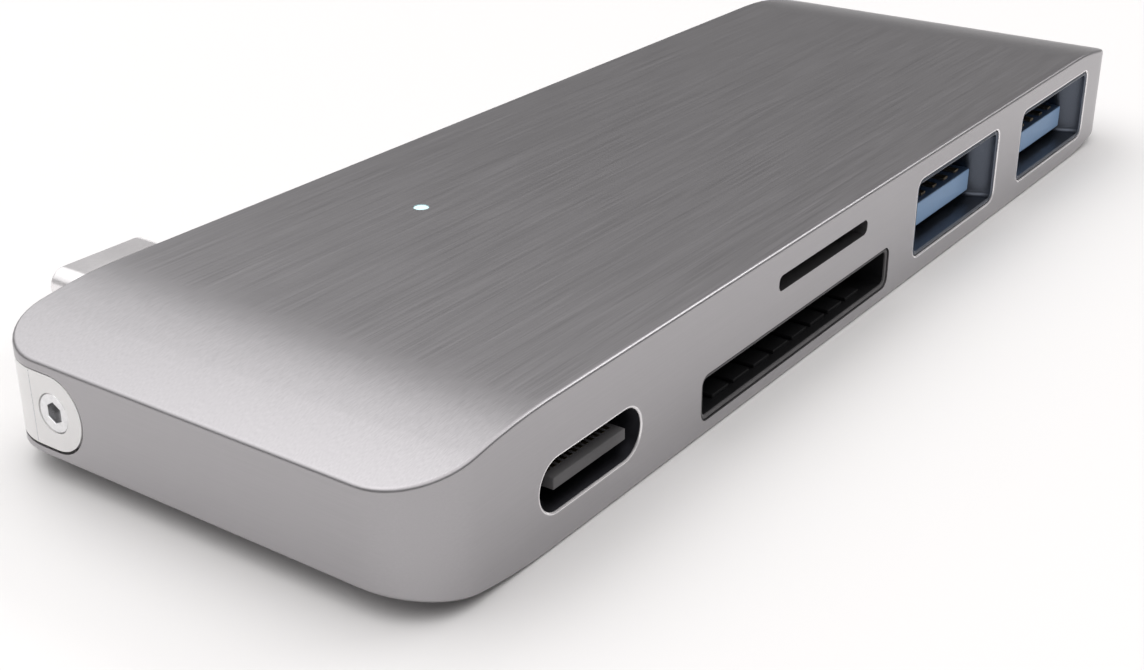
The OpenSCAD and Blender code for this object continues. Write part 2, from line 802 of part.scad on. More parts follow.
module lock_screw() color("#dedede") screw_place(screw_sunk) difference() {
    cylinder(r = screw_r, h = screw_l);
    translate([0, 0, -eps]) cylinder(r = hex_af / sqrt(3), h = hex_depth + eps, $fn = 6);
    translate([0, 0, screw_l - pad_pin_l - lap]) cylinder(r = pad_pin_r + run_gap, h = eps);
}

module lock_pad() color("#7a5a3a") screw_place(screw_sunk + screw_l) {
    translate([0, 0, run_gap]) cylinder(r = pad_r, h = pad_t);
    translate([0, 0, -pad_pin_l]) cylinder(r = pad_pin_r, h = pad_pin_l + run_gap + lap);
}

// Ribbon: out of the socket on the main board, along, round a half turn and back to the plug's board
module plug_flex() color("#c8742a") along_x(plug_x - flex_w / 2, plug_x + flex_w / 2) {
    translate([-flex_in, flex_low_z]) square([flex_loop_y + flex_in, flex_t]);
    translate([flex_loop_y - flex_joint_l, flex_top_z]) square([flex_joint_l, flex_t]);
    translate([flex_loop_y, (flex_top_z + flex_low_z + flex_t) / 2]) intersection() {
        difference() {
            circle(flex_r + flex_t / 2);
            circle(flex_r - flex_t / 2);
        }
        translate([0, -2 * flex_r]) square(4 * flex_r);
    }
}

module flex_socket() color("#e6e2d6") difference() {
    half = [socket_size[0] / 2, flex_w / 2 + flex_fit];
    block([plug_x - half[0], socket_face_y - socket_size[1], flex_low_z - 0.45],
        [plug_x + half[0], socket_face_y, board_z]);
    block([plug_x - half[1], -flex_in, flex_low_z - flex_fit],
        [plug_x + half[1], eps, flex_low_z + flex_t + flex_fit]);
}

top_shell();
bottom_cover();
cover_adhesive();
insulating_film();
main_board();
board_screws();
usb_a_shell(usb_a_x[0]);  // usb_a_shell_1
usb_a_tongue(usb_a_x[0]);  // usb_a_tongue_1
usb_a_contacts(usb_a_x[0]);  // usb_a_contacts_1
usb_a_shell(usb_a_x[1]);  // usb_a_shell_2
usb_a_tongue(usb_a_x[1]);  // usb_a_tongue_2
usb_a_contacts(usb_a_x[1]);  // usb_a_contacts_2
usb_c_shell();
usb_c_insulator();
usb_c_contacts();
sd_base();
sd_cover();
sd_contacts();
microsd_base();
microsd_cover();
microsd_contacts();
microsd_slider();
microsd_spring();
microsd_cam_pin();
status_led();
light_pipe();
hub_chip();
card_reader_chip();
power_chip();
crystal();
inductors();
capacitors();
resistors();
shield_can();
thermal_pad();
flex_socket();
plug_flex();
plug_carrier();
plug_shell();
plug_insulator();
plug_contacts();
plug_latches();
plug_board();
lock_screw();
lock_pad();
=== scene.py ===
import json
import math

import bmesh
import bpy
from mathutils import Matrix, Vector


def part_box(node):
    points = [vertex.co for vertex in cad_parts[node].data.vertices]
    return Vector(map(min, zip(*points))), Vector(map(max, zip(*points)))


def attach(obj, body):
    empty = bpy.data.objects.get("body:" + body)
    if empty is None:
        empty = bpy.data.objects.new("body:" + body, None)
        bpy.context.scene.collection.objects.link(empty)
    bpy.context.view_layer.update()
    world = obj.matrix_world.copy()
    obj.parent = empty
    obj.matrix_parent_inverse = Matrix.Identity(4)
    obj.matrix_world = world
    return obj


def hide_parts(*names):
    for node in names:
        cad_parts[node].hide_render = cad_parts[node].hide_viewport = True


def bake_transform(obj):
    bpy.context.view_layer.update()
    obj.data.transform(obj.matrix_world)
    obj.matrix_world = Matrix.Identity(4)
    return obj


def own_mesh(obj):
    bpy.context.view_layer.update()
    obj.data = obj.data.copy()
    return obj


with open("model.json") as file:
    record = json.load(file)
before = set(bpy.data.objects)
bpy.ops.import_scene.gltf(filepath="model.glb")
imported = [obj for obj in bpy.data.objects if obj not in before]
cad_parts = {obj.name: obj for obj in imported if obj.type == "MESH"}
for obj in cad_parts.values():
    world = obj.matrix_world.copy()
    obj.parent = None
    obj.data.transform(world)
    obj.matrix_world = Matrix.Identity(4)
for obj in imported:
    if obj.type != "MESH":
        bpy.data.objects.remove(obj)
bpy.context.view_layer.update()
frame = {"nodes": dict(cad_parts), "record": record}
NODES = frame["nodes"]
MM = 0.001

# ---- sizes: the case's box comes from the CAD model, the rest is written in millimetres ----
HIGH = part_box("top_shell")[1]
END_X = HIGH.x                                # half the length
SIDE_Y = HIGH.y                               # half the width
BODY_H = HIGH.z
MID_Z = BODY_H / 2
CORNER_R = 4.2 * MM
CROWN_START = 37.3 * MM                       # where the top and underside start to curve
END_DROP = 1.53 * MM
WALL = 1.2 * MM
TOP_T = 0.9 * MM
REBATE = 0.6 * MM                             # ledge round the bottom cover
REBATE_T = 0.9 * MM
EDGE_R = 0.22 * MM                            # rounding of the case's outer edges
RIM_W = 0.13 * MM                             # lip round the type A and type C ports, lighter than the case as a painted highlight
RIM_DEPTH = 0.1 * MM
PAST = 1 * MM                                 # how far a cutter runs past the surface that it opens
HAIR = 0.0001 * MM                            # keeps the straight side of a fully round end above zero
A_FLARE = 0.75 * MM                           # how much wider the type A mouth is on each side
A_FLARE_L = 2.2 * MM
A_IN = (12.5 * MM, 5.12 * MM)
A_SHEET = 0.3 * MM
A_CUT = (A_IN[0] + 2 * A_SHEET + 2 * A_FLARE + 0.1 * MM, A_IN[1] + 2 * A_SHEET + 0.1 * MM)
A_CUT_R = 0.8 * MM
C_IN = (8.34 * MM, 2.56 * MM)
C_SHEET = 0.25 * MM
C_CUT = (9.4 * MM, 3.14 * MM)
SD_NOSE = (24.9 * MM, 3.05 * MM)
SD_NOSE_R = 0.7 * MM
SD_OPEN = (24.3 * MM, 2.45 * MM)
SD_OPEN_R = 0.45 * MM
SD_GAP = 0.05 * MM                            # between the frame's nose and the wall's slot
SD_LIP = 0.06 * MM                            # chamfer round the frame's mouth
TEETH = 8
TOOTH = (1.95 * MM, 0.36 * MM)
TOOTH_PITCH = 2.5 * MM
TOOTH_RISE = 0.06 * MM                        # middle of a tooth above the slot's floor
TOOTH_ENDS = (0.85 * MM, 4.3 * MM)            # behind the wall's face
MICRO_OPEN = (12.1 * MM, 1.05 * MM)
MICRO_OPEN_R = 0.45 * MM
SD_MIDDLE = ((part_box("sd_base")[0].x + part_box("sd_base")[1].x) / 2, 2.4 * MM)
MICRO_MIDDLE = ((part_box("microsd_base")[0].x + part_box("microsd_base")[1].x) / 2, 6.6 * MM)
CROWN_LEN = END_X - CROWN_START
CROWN_R = (CROWN_LEN ** 2 + END_DROP ** 2) / (2 * END_DROP)
CARRIER_H = 4.55 * MM
CARRIER_GAP = 0.075 * MM                      # round the carrier in the case's slots
CARRIER_SAG = 0.05 * MM                       # leaves the gap wider below the carrier than above it
CARRIER_EDGE = 0.06 * MM
WINDOW_R = 0.52 * MM                          # hole over the status light
RIBBON_T = 0.12 * MM


# ---- camera ----
CAMERA_AT = (-0.0970, -0.0592, 0.0470)
CAMERA_AIM = (-0.0230, -0.0071, 0.0045)
LENS = 52.4


def make_camera():
    cam = bpy.data.objects.new("camera", bpy.data.cameras.new("camera"))
    bpy.context.scene.collection.objects.link(cam)
    cam.data.lens = LENS
    cam.data.sensor_width = 36
    cam.data.clip_start = 0.002
    cam.data.clip_end = 20
    cam.location = CAMERA_AT
    cam.rotation_euler = (Vector(CAMERA_AIM) - cam.location).to_track_quat("-Z", "Y").to_euler()
    bpy.context.scene.camera = cam


# ---- shader helpers ----
def new_material(name):
    m = bpy.data.materials.new(name)
    m.use_nodes = True
    return m, m.node_tree.nodes, m.node_tree.links, m.node_tree.nodes["Principled BSDF"]


def object_coords(nodes, links, scale):
    """Object coordinates, in metres, times scale along each axis."""
    coord = nodes.new("ShaderNodeTexCoord")
    mapping = nodes.new("ShaderNodeMapping")
    mapping.inputs["Scale"].default_value = scale
    links.new(coord.outputs["Object"], mapping.inputs["Vector"])
    return mapping.outputs["Vector"]


def noise(nodes, links, scale, detail=2.0, rough=0.5):
    """Noise with its own scale along each axis, per metre."""
    tex = nodes.new("ShaderNodeTexNoise")
    tex.inputs["Scale"].default_value = 1.0
    tex.inputs["Detail"].default_value = detail
    tex.inputs["Roughness"].default_value = rough
    links.new(object_coords(nodes, links, scale), tex.inputs["Vector"])
    return tex.outputs["Fac"]


def spread(nodes, links, value, low, high, low_in=0.3, high_in=0.7):
    """Maps a noise value to the range from low to high."""
    r = nodes.new("ShaderNodeMapRange")
    r.inputs["From Min"].default_value = low_in
    r.inputs["From Max"].default_value = high_in
    r.inputs["To Min"].default_value = low
    r.inputs["To Max"].default_value = high
    links.new(value, r.inputs["Value"])
    return r.outputs["Result"]


def mix_values(nodes, links, fac, a, b):
    m = nodes.new("ShaderNodeMix")
    m.data_type = "FLOAT"
    links.new(fac, m.inputs[0])
    for socket, v in ((m.inputs[2], a), (m.inputs[3], b)):
        if isinstance(v, (int, float)):
            socket.default_value = v
        else:
            links.new(v, socket)
    return m.outputs[0]


def mix_colors(nodes, links, fac, a, b):
    m = nodes.new("ShaderNodeMix")
    m.data_type = "RGBA"
    if isinstance(fac, (int, float)):
        m.inputs[0].default_value = fac
    else:
        links.new(fac, m.inputs[0])
    for socket, v in ((m.inputs[6], a), (m.inputs[7], b)):
        if isinstance(v, (tuple, list)):
            socket.default_value = (*v, 1.0)
        else:
            links.new(v, socket)
    return m.outputs[2]


def bump(nodes, links, height, depth, bsdf):
    b = nodes.new("ShaderNodeBump")
    b.inputs["Strength"].default_value = 1.0
    b.inputs["Distance"].default_value = depth
    links.new(height, b.inputs["Height"])
    links.new(b.outputs["Normal"], bsdf.inputs["Normal"])


def maths(nodes, links, what, *values):
    m = nodes.new("ShaderNodeMath")
    m.operation = what
    for i, v in enumerate(values):
        if isinstance(v, (int, float)):
            m.inputs[i].default_value = v
        else:
            links.new(v, m.inputs[i])
    return m.outputs[0]


def normal_part(nodes, links, axis):
    """How squarely the surface faces along one axis, from 0 to 1."""
    geometry = nodes.new("ShaderNodeNewGeometry")
    split = nodes.new("ShaderNodeSeparateXYZ")
    links.new(geometry.outputs["True Normal"], split.inputs[0])
    return maths(nodes, links, "ABSOLUTE", split.outputs[axis])


def toned(color, factor):
    """The color made darker or lighter, with no part above 1."""
    return tuple(min(1, c * factor) for c in color)


# ---- materials ----
def brushed_aluminium(name, color, rough=0.35):
    """Brush lines run along X on the top, underside and long walls, and along Y on the end walls."""
    m, nodes, links, bsdf = new_material(name)
    fine, slow = 16000, 130
    along_x = noise(nodes, links, (slow, fine, fine), 3, 0.6)
    along_y = noise(nodes, links, (fine, slow, fine), 3, 0.6)
    on_end = spread(nodes, links, normal_part(nodes, links, "X"), 0, 1, 0.6, 0.8)
    lines = mix_values(nodes, links, on_end, along_x, along_y)
    on_top = spread(nodes, links, normal_part(nodes, links, "Z"), 0.25, 1, 0.6, 0.8)
    centred = maths(nodes, links, "SUBTRACT", lines, 0.5)
    lines = maths(nodes, links, "MULTIPLY_ADD", centred, on_top, 0.5)
    grain = spread(nodes, links, lines, 0, 1)
    tint = mix_colors(nodes, links, grain, toned(color, 0.90), toned(color, 1.10))
    links.new(tint, bsdf.inputs["Base Color"])
    links.new(spread(nodes, links, lines, rough - 0.03, rough + 0.03), bsdf.inputs["Roughness"])
    bsdf.inputs["Metallic"].default_value = 1.0
    bump(nodes, links, lines, 0.0000005, bsdf)
    return m


def metal(name, color, rough, grain=(3000, 3000, 3000), depth=0.000001, wear=0.08, metallic=1.0):
    m, nodes, links, bsdf = new_material(name)
    n = noise(nodes, links, grain, 3)
    smudge = noise(nodes, links, (250, 250, 250), 2)
    grains = spread(nodes, links, n, 0, 1)
    tint = mix_colors(nodes, links, grains, toned(color, 1 - wear), toned(color, 1 + wear))
    links.new(tint, bsdf.inputs["Base Color"])
    links.new(spread(nodes, links, smudge, max(0.03, rough - 0.05), rough + 0.06), bsdf.inputs["Roughness"])
    bsdf.inputs["Metallic"].default_value = metallic
    bump(nodes, links, n, depth, bsdf)
    return m


def plastic(name, color, rough, depth=0.000003, grain=7000, wear=0.12, coat=0.0, shine=0.5):
    m, nodes, links, bsdf = new_material(name)
    n = noise(nodes, links, (grain, grain, grain), 3)
    smudge = noise(nodes, links, (350, 350, 350), 2)
    smudges = spread(nodes, links, smudge, 0, 1)
    tint = mix_colors(nodes, links, smudges, toned(color, 1 - wear), toned(color, 1 + wear))
    links.new(tint, bsdf.inputs["Base Color"])
    links.new(spread(nodes, links, n, rough - 0.05, rough + 0.07), bsdf.inputs["Roughness"])
    bsdf.inputs["Coat Weight"].default_value = coat
    bsdf.inputs["Specular IOR Level"].default_value = shine
    if depth:
        bump(nodes, links, n, depth, bsdf)
    return m


def painted_shade_plastic(name, front, top, rough):
    """Moulded plastic with painted shade: its level faces are a deeper tone than its upright ones."""
    m, nodes, links, bsdf = new_material(name)
    n = noise(nodes, links, (7000, 7000, 7000), 3)
    grain = spread(nodes, links, n, 0, 1)
    pale = mix_colors(nodes, links, grain, toned(front, 0.92), front)
    # painted shade: the darker top colour goes on level faces, the lighter front colour on upright ones
    painted_shade_tone = mix_colors(nodes, links, grain, toned(top, 0.88), top)
    level = spread(nodes, links, normal_part(nodes, links, "Z"), 0, 1, 0.5, 0.8)
    links.new(mix_colors(nodes, links, level, pale, painted_shade_tone), bsdf.inputs["Base Color"])
    links.new(spread(nodes, links, n, rough - 0.04, rough + 0.06), bsdf.inputs["Roughness"])
    bsdf.inputs["Specular IOR Level"].default_value = 0.3
    bump(nodes, links, n, 0.000002, bsdf)
    return m


def circuit_board(name):
    """Solder mask with faint copper tracks under it."""
    m, nodes, links, bsdf = new_material(name)
    tracks = nodes.new("ShaderNodeTexBrick")
    tracks.inputs["Scale"].default_value = 1.0
    tracks.inputs["Mortar Size"].default_value = 0.12
    tracks.inputs["Brick Width"].default_value = 2.4
    tracks.inputs["Row Height"].default_value = 0.5
    tracks.inputs["Color1"].default_value = (0.016, 0.13, 0.055, 1)
    tracks.inputs["Color2"].default_value = (0.020, 0.16, 0.07, 1)
    tracks.inputs["Mortar"].default_value = (0.035, 0.23, 0.10, 1)
    links.new(object_coords(nodes, links, (1000, 1000, 1000)), tracks.inputs["Vector"])
    links.new(tracks.outputs["Color"], bsdf.inputs["Base Color"])
    n = noise(nodes, links, (4000, 4000, 4000), 2)
    links.new(spread(nodes, links, n, 0.25, 0.38), bsdf.inputs["Roughness"])
    bump(nodes, links, tracks.outputs["Fac"], 0.00001, bsdf)
    return m


def glowing(name, color, strength):
    """Frosted window with a faint, slightly uneven glow."""
    m, nodes, links, bsdf = new_material(name)
    n = noise(nodes, links, (5000, 5000, 5000), 2)
    frost = spread(nodes, links, n, 0, 1)
    links.new(mix_colors(nodes, links, frost, toned(color, 0.9), color), bsdf.inputs["Base Color"])
    links.new(mix_colors(nodes, links, frost, toned(color, 0.85), color), bsdf.inputs["Emission Color"])
    bsdf.inputs["Emission Strength"].default_value = strength
    bsdf.inputs["Roughness"].default_value = 0.35
    bump(nodes, links, n, 0.000003, bsdf)
    return m


def port_steel(name, mouth, inside):
    """Sheet with painted shade: lighter at the mouth and darker with depth."""
    m, nodes, links, bsdf = new_material(name)
    coord = nodes.new("ShaderNodeTexCoord")
    split = nodes.new("ShaderNodeSeparateXYZ")
    links.new(coord.outputs["Object"], split.inputs[0])
    depth = maths(nodes, links, "ADD", split.outputs["Y"], SIDE_Y)
    # painted shade: the colour darkens from the mouth towards the back of the port
    shade_by_depth = spread(nodes, links, depth, 0, 1, 0.3 * MM, 4 * MM)
    n = noise(nodes, links, (1200, 9000, 9000), 3)
    grain = spread(nodes, links, n, 0, 1)
    light = mix_colors(nodes, links, grain, toned(mouth, 0.9), mouth)
    dark = mix_colors(nodes, links, grain, toned(inside, 0.85), inside)
    links.new(mix_colors(nodes, links, shade_by_depth, light, dark), bsdf.inputs["Base Color"])
    links.new(spread(nodes, links, n, 0.30, 0.42), bsdf.inputs["Roughness"])
    bsdf.inputs["Metallic"].default_value = 1.0
    bump(nodes, links, n, 0.000001, bsdf)
    return m


MATERIALS = {
    "case_aluminium": brushed_aluminium("case_aluminium", (0.398, 0.387, 0.398)),
    "cover_aluminium": brushed_aluminium("cover_aluminium", (0.385, 0.374, 0.384), 0.38),
    "adhesive": plastic("adhesive", (0.02, 0.02, 0.02), 0.7),
    "film": plastic("film", (0.62, 0.36, 0.06), 0.25, coat=0.4),
    "circuit_board": circuit_board("circuit_board"),
    "screw_steel": metal("screw_steel", (0.76, 0.76, 0.77), 0.26),
    # the mouth and inside colours are painted shade, darkening into the port
    "port_steel": port_steel("port_steel", (0.125, 0.14, 0.17), (0.085, 0.096, 0.118)),
    # the second colour is painted shade on the tongue's level faces
    "blue_plastic": painted_shade_plastic("blue_plastic", (0.25, 0.39, 0.60), (0.035, 0.06, 0.11), 0.45),
    "gold_contact": metal("gold_contact", (0.45, 0.37, 0.26), 0.34),
    "dark_steel": metal("dark_steel", (0.016, 0.016, 0.019), 0.5),
    "black_plastic": plastic("black_plastic", (0.007, 0.007, 0.008), 0.55, shine=0.22),
    "tongue_plastic": plastic("tongue_plastic", (0.118, 0.115, 0.118), 0.6, shine=0.15),
    "socket_steel": metal("socket_steel", (0.60, 0.60, 0.62), 0.3, grain=(400, 6000, 6000)),
    "natural_plastic": plastic("natural_plastic", (0.72, 0.69, 0.58), 0.4),
    "spring_steel": metal("spring_steel", (0.62, 0.62, 0.64), 0.25),
    "led": plastic("led", (0.85, 0.92, 0.90), 0.3, coat=0.5),
    "light_window": glowing("light_window", (0.56, 0.80, 0.82), 0.60),
    "chip": plastic("chip", (0.016, 0.016, 0.018), 0.5, depth=0.000006),
    "ferrite": plastic("ferrite", (0.06, 0.06, 0.065), 0.55, depth=0.000008),
    "capacitor": plastic("capacitor", (0.42, 0.27, 0.13), 0.35),
    "thermal_pad": plastic("thermal_pad", (0.22, 0.32, 0.50), 0.8, depth=0.00001),
    "ribbon": plastic("ribbon", (0.48, 0.19, 0.03), 0.3, coat=0.3),
    "carrier_white": plastic("carrier_white", (0.86, 0.85, 0.845), 0.42, depth=0, grain=900, wear=0.01),
    "plug_steel": metal("plug_steel", (0.92, 0.90, 0.908), 0.22, wear=0.03, metallic=0.58),
    "pad_brass": metal("pad_brass", (0.55, 0.36, 0.14), 0.3),
}


def paint_cad_nodes():
    """Each CAD node takes the material of its slot in the record."""
    for row in frame["record"]["subparts"]:
        node = NODES[row["node"]]
        node.data.materials.clear()
        node.data.materials.append(MATERIALS[row["material_slot"]])


# ---- mesh helpers ----
def add_mesh(name, verts, faces, material=None, smooth_angle=None):
    mesh = bpy.data.meshes.new(name)
    mesh.from_pydata([tuple(v) for v in verts], [], faces)
    bm = bmesh.new()
    bm.from_mesh(mesh)
    bmesh.ops.recalc_face_normals(bm, faces=bm.faces)
    bm.to_mesh(mesh)
    bm.free()
    obj = bpy.data.objects.new(name, mesh)
    bpy.context.scene.collection.objects.link(obj)
    if material:
        mesh.materials.append(MATERIALS[material])
    if smooth_angle is not None:
        smooth(obj, smooth_angle)
    return obj


def smooth(obj, angle):
    """Smooth shading, with edges sharper than the angle, in degrees, left crisp."""
    for p in obj.data.polygons:
        p.use_smooth = True
    obj.data.set_sharp_from_angle(angle=math.radians(angle))


def weld(obj):
    """Joins vertices that share a place, so that a ring of faces closes on itself."""
    bm = bmesh.new()
    bm.from_mesh(obj.data)
    bmesh.ops.remove_doubles(bm, verts=bm.verts, dist=0.0005 * MM)
    bmesh.ops.recalc_face_normals(bm, faces=bm.faces)
    bm.to_mesh(obj.data)
    bm.free()


def skin(rings, caps=True):
    """Vertices and faces of a tube through closed rings of equal length, with flat ends."""
    count = len(rings[0])
    verts = [p for ring in rings for p in ring]
    faces = []
    for r in range(len(rings) - 1):
        for i in range(count):
            j = (i + 1) % count
            faces.append((r * count + i, r * count + j, (r + 1) * count + j, (r + 1) * count + i))
    if caps:
        faces.append(tuple(range(count)))
        faces.append(tuple(range(len(verts) - count, len(verts))))
    return verts, faces


def cut(obj, cutters):
    """Takes the cutters' solids out of obj for good."""
    for c in cutters:
        mod = obj.modifiers.new("cut", "BOOLEAN")
        mod.operation = "DIFFERENCE"
        mod.solver = "EXACT"
        mod.object = c
    apply_modifiers(obj)
    for c in cutters:
        bpy.data.objects.remove(c)


def apply_modifiers(obj):
    depsgraph = bpy.context.evaluated_depsgraph_get()
    baked = bpy.data.meshes.new_from_object(obj.evaluated_get(depsgraph))
    obj.modifiers.clear()
    obj.data = baked


def soften(obj, width):
    """A Bevel modifier that rounds the sharp edges and keeps flat faces flat."""
    mod = obj.modifiers.new("soften", "BEVEL")
    mod.width = width
    mod.segments = 2
    mod.limit_method = "ANGLE"
    mod.angle_limit = math.radians(35)
    mod.harden_normals = True


def combined(parts):
    """One list of vertices and one of faces from several."""
    verts, faces = [], []
    for part_verts, part_faces in parts:
        first = len(verts)
        verts += part_verts
        faces += [tuple(first + i for i in face) for face in part_faces]
    return verts, faces


def dress(piece, body, slot, *replaced):
    """Gives a finished piece its material and its body, and hides the CAD nodes that it stands for."""
    piece.data.materials.clear()
    piece.data.materials.append(MATERIALS[slot])
    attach(piece, body)
    if replaced:
        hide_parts(*replaced)


# ---- case ----
def crown(x):
    """How far the top lies below its full height at x."""
    run = max(0.0, abs(x) - CROWN_START)
    return CROWN_R - math.sqrt(CROWN_R ** 2 - run ** 2)


def half_outline(inset):
    """Points from the left end to the right end along the front edge of the plan."""
    r = CORNER_R - inset
    cx, cy = END_X - CORNER_R, SIDE_Y - CORNER_R
    turn = 12
    corner = [(cx + r * math.cos(a), -cy - r * math.sin(a))
              for a in (math.pi / 2 * i / turn for i in range(turn + 1))]
    steps = 60
    middle = [(-cx + 2 * cx * i / steps, -SIDE_Y + inset) for i in range(1, steps)]
    return [(-x, y) for x, y in corner] + middle + list(reversed(corner))


def case_ring(inset, height):
    """One closed ring round the case. height gives z from x."""
    front = half_outline(inset)
    back = [(x, -y) for x, y in reversed(front)]
    return [Vector((x, y, height(x))) for x, y in front + back]


def cap_faces(first, count, flip=False):
    """Quads that join each point of the ring's front half to the same place on its back half."""
    half = count // 2
    faces = []
    for i in range(half - 1):
        a, b = first + i, first + i + 1
        faces.append((a, b, first + count - 2 - i, first + count - 1 - i))
    return [tuple(reversed(f)) for f in faces] if flip else faces


def build_case():
    """The case as rings from its roof inside, down, round the underside's edge and up to the top."""
    def top(drop):
        return lambda x: BODY_H - crown(x) - drop

    def low(rise):
        return lambda x: crown(x) + rise

    turn = 5
    arc = [math.pi / 2 * i / turn for i in range(turn + 1)]
    rings = [case_ring(WALL, top(TOP_T)), case_ring(WALL, low(REBATE_T))]
    rings += [case_ring(REBATE, low(REBATE_T)), case_ring(REBATE, low(0))]
    rings += [case_ring(EDGE_R * (1 - math.sin(a)), low(EDGE_R * (1 - math.cos(a)))) for a in arc]
    rings += [case_ring(EDGE_R * (1 - math.cos(a)), top(EDGE_R * (1 - math.sin(a)))) for a in arc]
    verts, faces = skin(rings, caps=False)
    count = len(rings[0])
    faces += cap_faces(0, count, flip=True)
    faces += cap_faces((len(rings) - 1) * count, count)
    case = add_mesh("case", verts, faces)
    cut(case, case_cutters())
    smooth(case, 35)
    even = case.modifiers.new("even", "WEIGHTED_NORMAL")
    even.keep_sharp = True
    even.weight = 100
    apply_modifiers(case)
    dress(case, "hub", "case_aluminium", "top_shell")


def full_round(height):
    """Corner radius that makes the ends of an outline of this height half circles."""
    return height / 2 - HAIR


def round_rect(w, h, r, turn=8):
    """Outline of a rectangle with round corners, as (x, z) pairs about its middle."""
    points = []
    for sx, sz, start in ((1, 1, 0), (-1, 1, 90), (-1, -1, 180), (1, -1, 270)):
        for i in range(turn + 1):
            a = math.radians(start + 90 * i / turn)
            points.append((sx * (w / 2 - r) + r * math.cos(a), sz * (h / 2 - r) + r * math.sin(a)))
    return points


def loft_y(middle, sections, turn=8):
    """Rings along Y: each section is (y, width, height, corner radius)."""
    return [[Vector((middle[0] + x, y, middle[1] + z)) for x, z in round_rect(w, h, r, turn)]
            for y, w, h, r in sections]


def middle_of(node):
    """Middle of a node's box along X and along Z."""
    low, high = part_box(node)
    return (low.x + high.x) / 2, (low.z + high.z) / 2


def mouth_cutter(name, middle, size, r, lip=0.0, turn=8):
    """A tool for a port's opening, with room for a lip at the case's face."""
    w, h = size
    wide = (w + 2 * lip, h + 2 * lip, r + lip)
    sections = [(-SIDE_Y - PAST, *wide)]
    if lip:
        sections.append((-SIDE_Y + RIM_DEPTH, *wide))
    sections += [(-SIDE_Y + RIM_DEPTH, w, h, r), (-SIDE_Y + WALL + 0.4 * MM, w, h, r)]
    return add_mesh(name, *skin(loft_y(middle, sections, turn)))


def case_cutters():
    cutters = [mouth_cutter(f"cut_a{n}", middle_of(f"usb_a_shell_{n}"), A_CUT, A_CUT_R, RIM_W)
               for n in (1, 2)]
    c_middle = middle_of("usb_c_shell")
    cutters.append(mouth_cutter("cut_c", c_middle, C_CUT, full_round(C_CUT[1]), RIM_W, 16))
    cutters.append(mouth_cutter("cut_sd", SD_MIDDLE, SD_NOSE, SD_NOSE_R))
    cutters.append(mouth_cutter("cut_micro", MICRO_MIDDLE, MICRO_OPEN, MICRO_OPEN_R))
    return cutters + carrier_cutters() + [window_cutter()]


def carrier_cutters():
    """The slot in the end wall, the slot in the rear wall and the corner between them."""
    r = CARRIER_H / 2 + CARRIER_GAP + CARRIER_SAG
    mid = MID_Z - CARRIER_SAG
    inside = WALL + 0.1 * MM
    screw_y = (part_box("lock_screw")[0].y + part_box("lock_screw")[1].y) / 2
    turn = 16
    arc = [math.pi * i / turn for i in range(turn + 1)]
    end = [(screw_y - r * math.sin(a), mid + r * math.cos(a)) for a in arc]
    end += [(SIDE_Y + 2 * PAST, mid - r), (SIDE_Y + 2 * PAST, mid + r)]
    through_end = [[Vector((x, y, z)) for y, z in end] for x in (-END_X - PAST, -END_X + inside)]
    inner_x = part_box("plug_carrier")[1].x + CARRIER_GAP - r
    rear = [(inner_x + r * math.sin(a), mid + r * math.cos(a)) for a in arc]
    rear += [(-END_X - 2 * PAST, mid - r), (-END_X - 2 * PAST, mid + r)]
    through_rear = [[Vector((x, y, z)) for x, z in rear] for y in (SIDE_Y - inside, SIDE_Y + PAST)]
    x0, y0 = -END_X - 1.5 * PAST, SIDE_Y - CORNER_R - 0.1 * MM
    x1, y1 = -END_X + CORNER_R + 0.5 * MM, SIDE_Y + 1.5 * PAST
    square = [(x0, y0), (x1, y0), (x1, y1), (x0, y1)]
    corner = [[Vector((x, y, z)) for x, y in square] for z in (mid - r, mid + r)]
    return [add_mesh("cut_" + n, *skin(rings))
            for n, rings in (("end", through_end), ("rear", through_rear), ("corner", corner))]


def window_cutter():
    """The round hole in the top over the status light."""
    low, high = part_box("light_pipe")
    x, y = (low.x + high.x) / 2, (low.y + high.y) / 2
    turn = 32
    circle = [2 * math.pi * i / turn for i in range(turn)]
    rings = [[Vector((x + WINDOW_R * math.cos(a), y + WINDOW_R * math.sin(a), z)) for a in circle]
             for z in (MID_Z, BODY_H + PAST)]
    return add_mesh("cut_window", *skin(rings))


# ---- ports ----
def rim(middle, size, r, turn=8):
    """A narrow lip round a port's opening, flush with the wall's face and chamfered inside."""
    w, h = size
    crest = RIM_W / 2
    outside = (w + 2 * RIM_W, h + 2 * RIM_W, r + RIM_W)
    sections = [(-SIDE_Y + RIM_DEPTH, *outside), (-SIDE_Y, *outside),
                (-SIDE_Y, w + 2 * crest, h + 2 * crest, r + crest),
                (-SIDE_Y + RIM_DEPTH / 2, w, h, r), (-SIDE_Y + RIM_DEPTH, w, h, r)]
    rings = loft_y(middle, sections, turn)
    return skin(rings + [rings[0]], caps=False)


def build_rims():
    parts = [rim(middle_of(f"usb_a_shell_{n}"), A_CUT, A_CUT_R) for n in (1, 2)]
    parts.append(rim(middle_of("usb_c_shell"), C_CUT, full_round(C_CUT[1]), 16))
    rims = add_mesh("port_rims_painted_highlight", *combined(parts))
    weld(rims)
    smooth(rims, 30)
    # plug_steel is far lighter than the case: the rims carry a painted highlight
    dress(rims, "hub", "plug_steel")


def tube_y(middle, inner, outer, turn=8):
    """A tube closed at its back: inner sections from the back to the mouth, outer ones back again."""
    return skin(loft_y(middle, inner + outer, turn))


